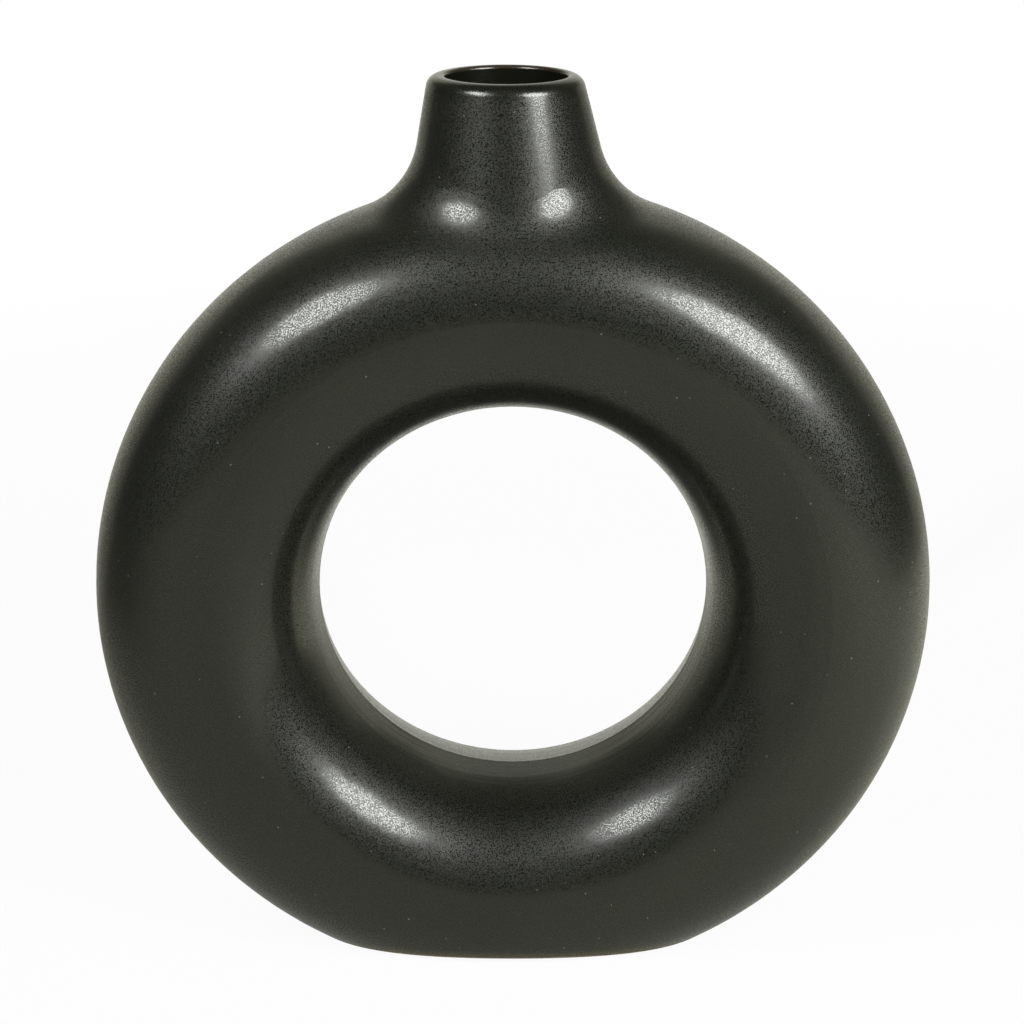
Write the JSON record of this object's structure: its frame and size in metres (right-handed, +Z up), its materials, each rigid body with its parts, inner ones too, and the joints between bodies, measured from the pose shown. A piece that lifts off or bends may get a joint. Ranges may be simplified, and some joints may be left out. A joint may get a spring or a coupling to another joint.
{
  "type": "ring vase",
  "caption": "Upright hollow ring-shaped vase with a round through hole, a short flared neck on its crown and a flat oval foot on soft pads.",
  "frame": {"origin": "middle of the underside, on the surface that the four pads stand on", "axes": "+X across the ring to the right as seen from the front, +Y through the ring's hole towards the back, +Z up towards the mouth"},
  "size_m": [0.25, 0.082, 0.2616],
  "materials": {
    "black_glaze": "satin black glaze with a fine dark and light speckle",
    "pad_felt": "charcoal felt"
  },
  "bodies": {
    "root": {"front_shell": "black_glaze", "back_shell": "black_glaze", "neck": "black_glaze", "pad_front_left": "pad_felt", "pad_front_right": "pad_felt", "pad_back_left": "pad_felt", "pad_back_right": "pad_felt"}
  },
  "joints": []
}
